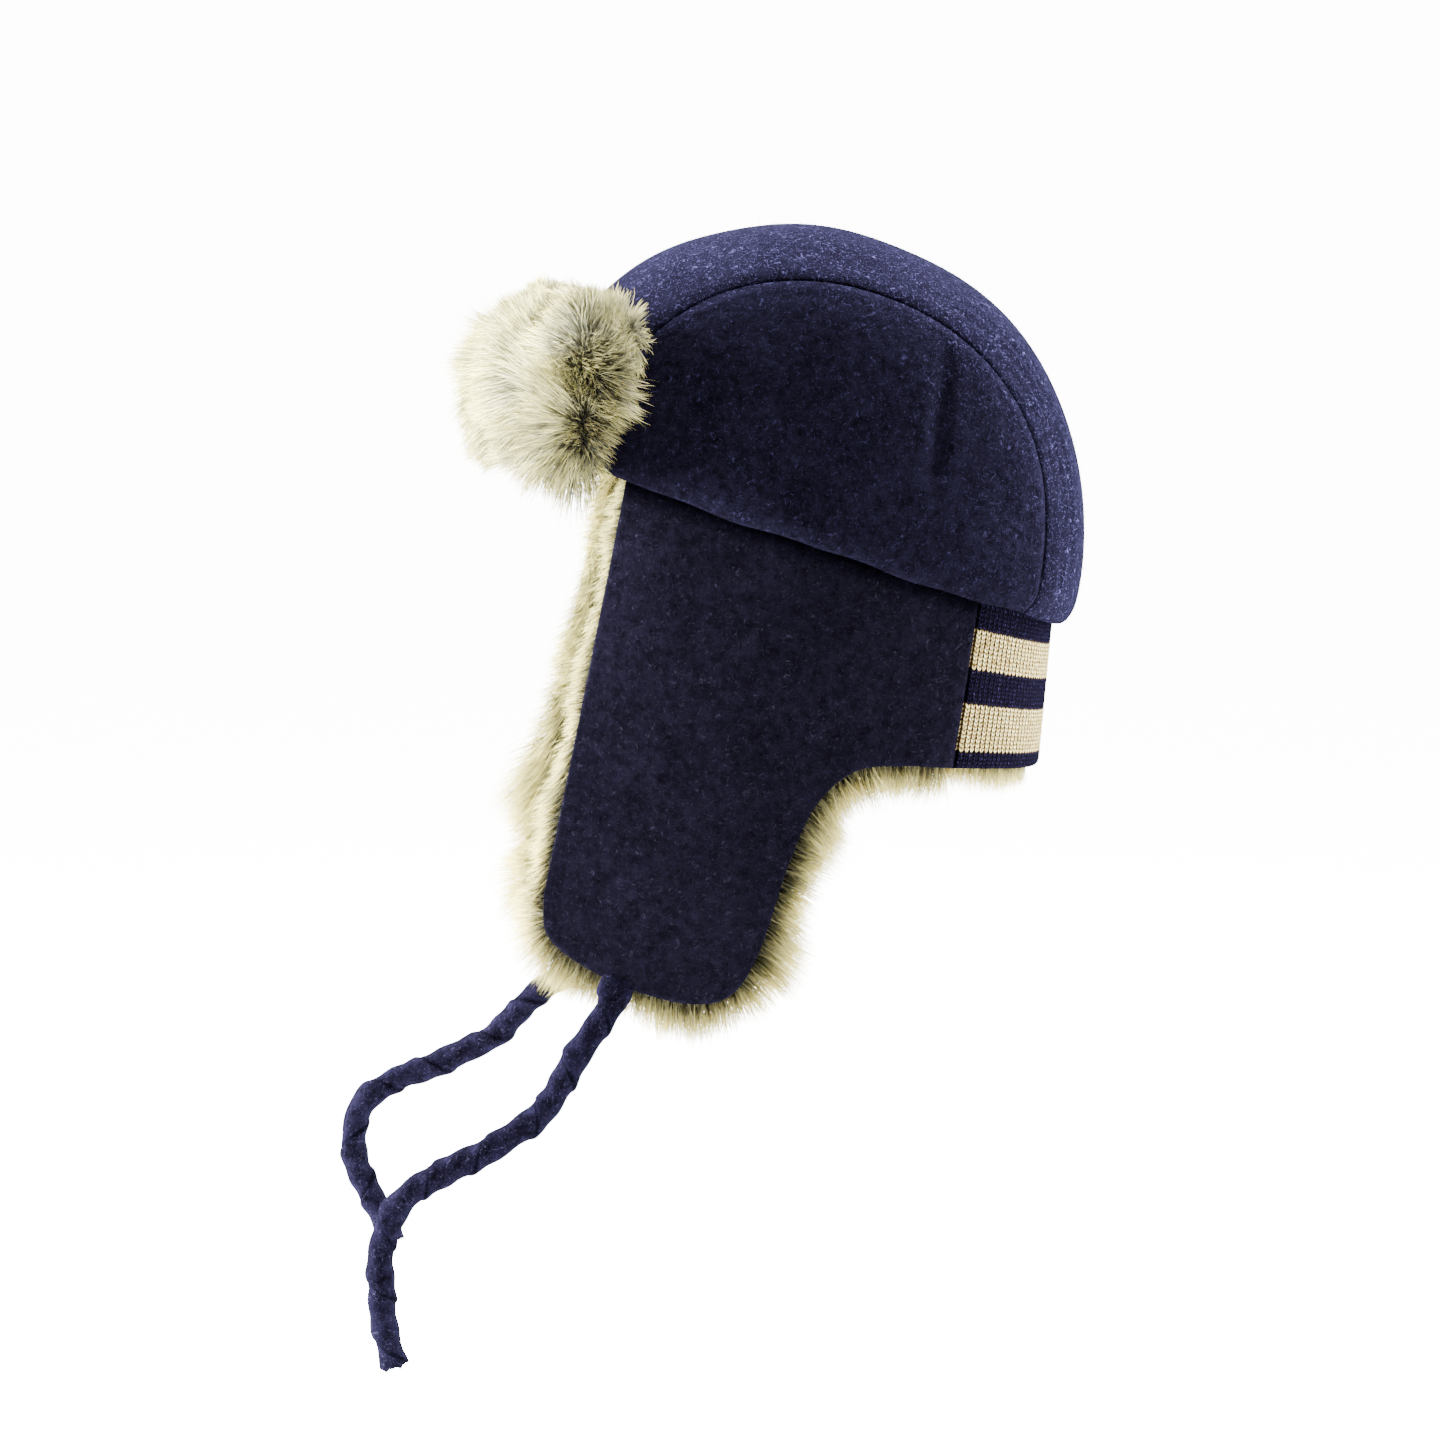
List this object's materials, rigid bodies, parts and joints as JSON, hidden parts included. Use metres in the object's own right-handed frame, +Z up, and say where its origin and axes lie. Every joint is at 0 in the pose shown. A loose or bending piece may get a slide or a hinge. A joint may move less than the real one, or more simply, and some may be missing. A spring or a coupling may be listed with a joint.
{
  "type": "ushanka",
  "caption": "Dark boiled-wool winter hat with a folded fur visor, fur-lined ear flaps hanging down, a striped knitted nape band and twisted felt ties.",
  "frame": {"origin": "highest point of the inside of the crown, on the hat's middle plane, where it rests on a head", "axes": "+Z up as worn, -X to the face, +Y to the wearer's right; the hem runs 19 degrees down towards the back"},
  "size_m": [0.3046, 0.1896, 0.4558],
  "materials": {
    "crown_wool": "dark navy boiled wool with pale flecks and a fine nap",
    "flap_wool": "dark navy boiled wool, flatter than the crown",
    "striped_knit": "ribless stocking stitch in navy and oatmeal stripes",
    "lining_fur": "short grey-brown pile with cream tips",
    "visor_fur": "long grey pile with cream tips",
    "tie_felt": "twisted navy felt cord with frayed ends"
  },
  "bodies": {
    "root": {"crown_side_left": "crown_wool", "crown_side_right": "crown_wool", "crown_top_strip": "crown_wool", "flap_left": "flap_wool", "flap_right": "flap_wool", "visor_felt": "flap_wool", "nape_knit_band": "striped_knit", "fur_lining_left": "lining_fur", "fur_lining_right": "lining_fur", "fur_lining_nape": "lining_fur", "visor_fur": "visor_fur", "tie_left": "tie_felt", "tie_right": "tie_felt"}
  },
  "joints": []
}
